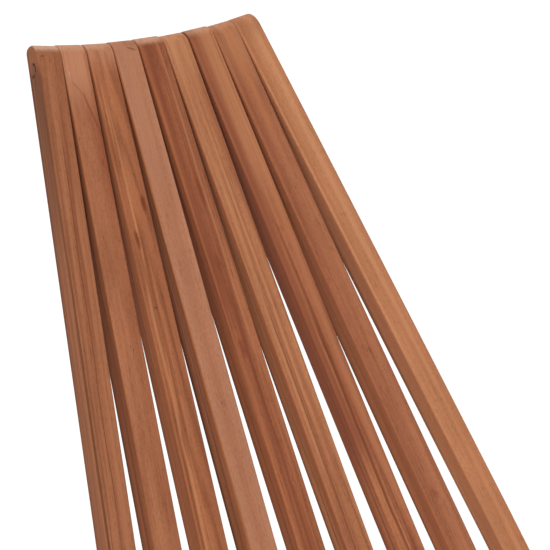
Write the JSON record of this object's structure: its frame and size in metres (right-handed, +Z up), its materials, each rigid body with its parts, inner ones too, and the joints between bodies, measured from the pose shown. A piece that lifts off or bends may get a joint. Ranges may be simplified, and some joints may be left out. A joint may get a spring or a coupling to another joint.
{
  "type": "folding lounge chair",
  "caption": "Folding lounge chair of square wooden sticks in two interleaved fans that cross on one pivot rod, with a tall raked back, bullnosed stick ends and plugged rod ends.",
  "frame": {"origin": "on the floor, below the middle of the chair's bounding box", "axes": "+Z up, +X across the chair to the right of the front view, -Y towards the front, where the sitter faces"},
  "size_m": [0.6178, 0.9518, 0.8332],
  "materials": {
    "back_wood": "satin oiled hardwood, long straight grain",
    "seat_wood": "satin oiled hardwood, long straight grain",
    "rail_wood": "satin oiled hardwood, long straight grain",
    "bar_wood": "satin oiled hardwood",
    "plug_wood": "satin oiled end-grain plug",
    "spacer_wood": "satin oiled turned hardwood",
    "washer_nylon": "plain nylon",
    "glide_plastic": "fine matte",
    "steel": "bright zinc plated"
  },
  "bodies": {
    "back_frame": {"back_slat_1": "back_wood", "back_slat_2": "back_wood", "back_slat_3": "back_wood", "back_slat_4": "back_wood", "back_slat_5": "back_wood", "back_slat_6": "back_wood", "back_slat_7": "back_wood", "back_slat_8": "back_wood", "back_slat_9": "back_wood", "top_rod": "steel", "top_rod_nuts": "steel", "top_rod_plugs": "plug_wood", "leg_rod": "steel", "leg_rod_spacers": "spacer_wood", "leg_rod_nuts": "steel", "leg_rod_plugs": "plug_wood", "seat_bearer": "bar_wood", "bearer_screws": "steel", "front_glides": "glide_plastic"},
    "seat_frame": {"seat_slat_1": "seat_wood", "seat_slat_2": "seat_wood", "seat_slat_3": "seat_wood", "seat_slat_4": "seat_wood", "seat_slat_5": "seat_wood", "seat_slat_6": "seat_wood", "seat_slat_7": "seat_wood", "seat_slat_8": "seat_wood", "side_rail_left": "rail_wood", "side_rail_right": "rail_wood", "pivot_rod": "steel", "pivot_washers": "washer_nylon", "pivot_nuts": "steel", "pivot_plugs": "plug_wood", "seat_front_rod": "steel", "seat_front_spacers": "spacer_wood", "seat_front_nuts": "steel", "seat_front_plugs": "plug_wood", "rear_stretcher": "bar_wood", "stretcher_screws": "steel", "rear_glides": "glide_plastic"}
  },
  "joints": [
    {"name": "fold", "type": "hinge", "parent": "back_frame", "child": "seat_frame", "pos_m": [0, -0.01866, 0.27], "axis": [-1, 0, 0], "range_deg": [0, 88]}
  ]
}
